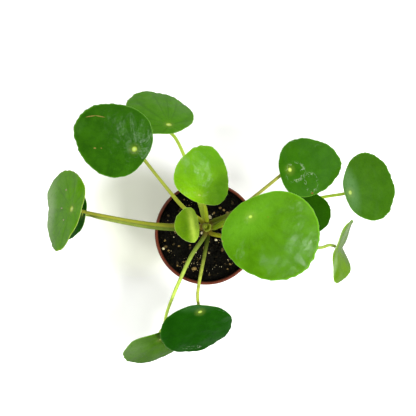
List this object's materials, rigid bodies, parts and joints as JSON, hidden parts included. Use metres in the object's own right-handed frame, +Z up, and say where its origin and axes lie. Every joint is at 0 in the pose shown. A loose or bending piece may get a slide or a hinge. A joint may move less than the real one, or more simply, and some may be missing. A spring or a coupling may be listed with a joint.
{
  "type": "potted pilea plant",
  "caption": "Round-leaved pilea house plant in a small terracotta-coloured plastic pot, its coin-shaped leaves held flat on long stalks that spread from one short stem.",
  "frame": {"origin": "middle of the pot's underside, on the surface that the pot stands on", "axes": "+X along the plant's longest spread, to the right in the view from above; +Y away in that view; +Z up along the pot's axis"},
  "size_m": [0.3059, 0.2511, 0.2034],
  "materials": {
    "pot": "satin",
    "soil": "rough",
    "stem": "rough",
    "growing_tip": "satin",
    "stalk": "satin",
    "leaf_dark": "glossy",
    "leaf_mid": "glossy",
    "leaf_bright": "glossy"
  },
  "bodies": {
    "root": {"pot": "pot", "soil": "soil", "stem": "stem", "growing_tip": "growing_tip", "stalk_01": "stalk", "leaf_01": "leaf_dark", "stalk_02": "stalk", "leaf_02": "leaf_mid", "stalk_03": "stalk", "leaf_03": "leaf_bright", "stalk_04": "stalk", "leaf_04": "leaf_bright", "stalk_05": "stalk", "leaf_05": "leaf_mid", "stalk_06": "stalk", "leaf_06": "leaf_dark", "stalk_07": "stalk", "leaf_07": "leaf_dark", "stalk_08": "stalk", "leaf_08": "leaf_mid", "stalk_09": "stalk", "leaf_09": "leaf_bright", "stalk_10": "stalk", "leaf_10": "leaf_dark", "stalk_11": "stalk", "leaf_11": "leaf_mid", "stalk_12": "stalk", "leaf_12": "leaf_dark", "stalk_13": "stalk", "leaf_13": "leaf_mid"}
  },
  "joints": []
}
